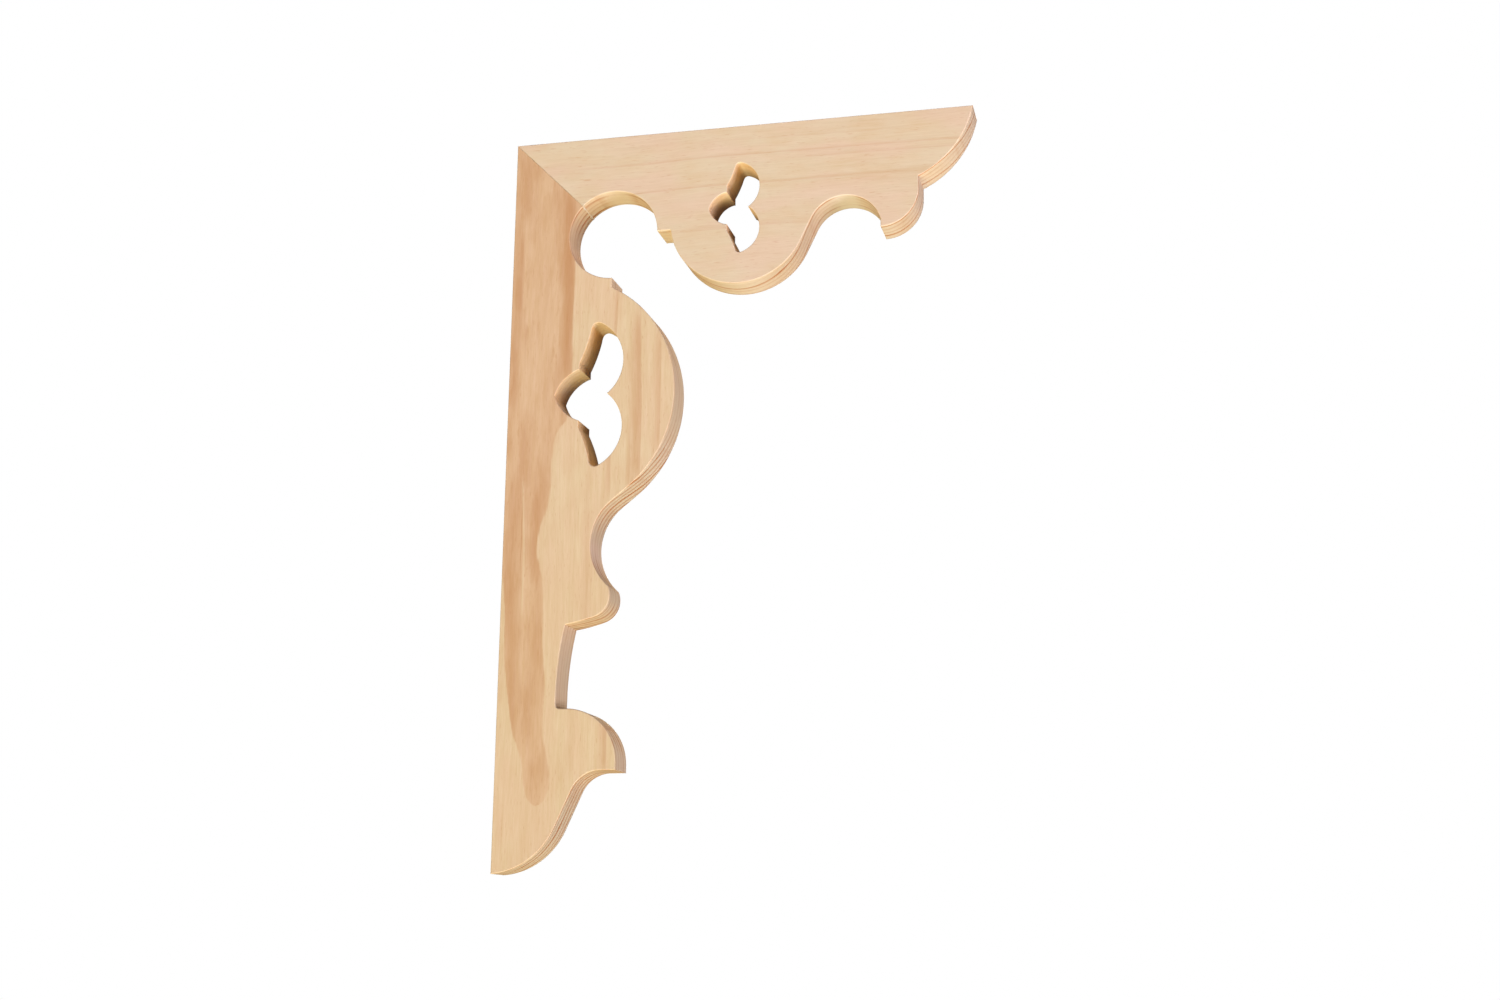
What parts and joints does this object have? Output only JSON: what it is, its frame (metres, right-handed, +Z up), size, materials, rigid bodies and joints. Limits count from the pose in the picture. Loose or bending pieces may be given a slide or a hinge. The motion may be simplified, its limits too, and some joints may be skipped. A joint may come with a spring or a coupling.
{
  "type": "corner bracket",
  "caption": "Fret-sawn timber corner bracket for a post and beam, with pierced leaf openings and a mitred corner.",
  "frame": {"origin": "centre of the leg's flat post face", "axes": "+X away from the post towards the tip of the arm, +Y from the front face to the back, +Z up"},
  "size_m": [0.382, 0.03, 0.6004],
  "materials": {
    "leg_pine": "dressed, bare",
    "arm_pine": "dressed, bare"
  },
  "bodies": {
    "root": {"post_leg": "leg_pine", "beam_arm": "arm_pine"}
  },
  "joints": []
}
